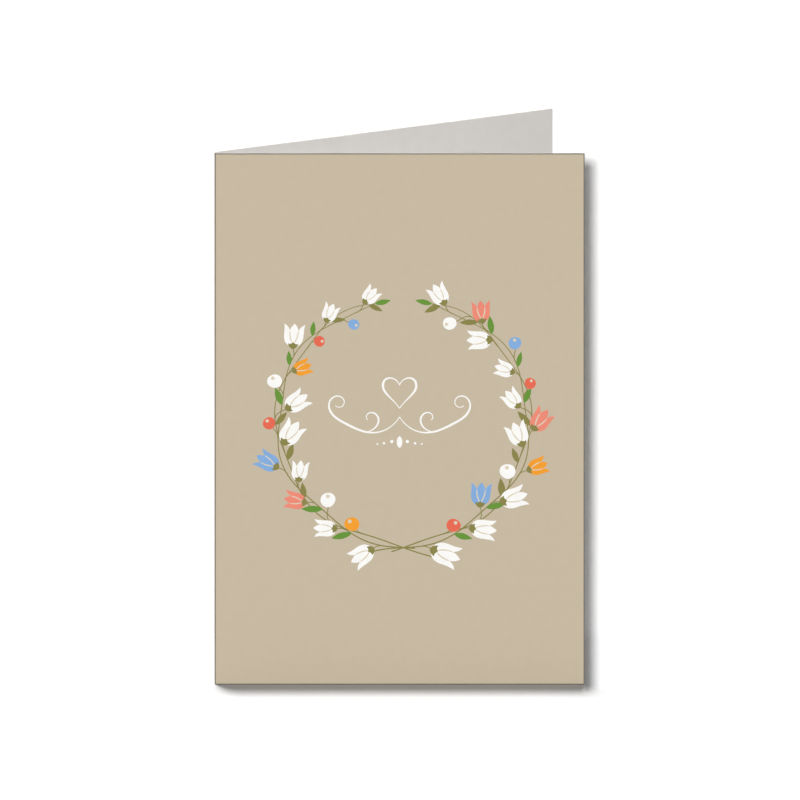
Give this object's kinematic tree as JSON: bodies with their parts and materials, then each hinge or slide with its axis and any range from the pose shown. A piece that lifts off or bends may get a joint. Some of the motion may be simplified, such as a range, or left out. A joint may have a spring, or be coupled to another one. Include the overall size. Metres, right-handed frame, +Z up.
{
  "type": "greeting card",
  "caption": "Folded greeting card of stiff board, standing half open on its lower edges, with a tan outside, a printed wreath of buds, berries and leaves round a flourish on the front and a blank pale inside.",
  "frame": {"origin": "on the table under the middle of the standing card's outline, at the foot of the bounding box", "axes": "+Z up along the fold and the card's height, -Y out of the printed front panel, +X from the fold to the fore edge of the front panel"},
  "size_m": [0.1, 0.0418, 0.15],
  "materials": {
    "tan_printed_board": "matte",
    "white_board": "matte",
    "grey_keyline": "matte",
    "olive_print": "matte",
    "green_print": "matte",
    "white_print": "matte",
    "cream_print": "matte",
    "blue_print": "matte",
    "orange_print": "matte",
    "coral_print": "matte",
    "red_print": "matte"
  },
  "bodies": {
    "root": {"folded_card": "tan_printed_board"}
  },
  "joints": []
}
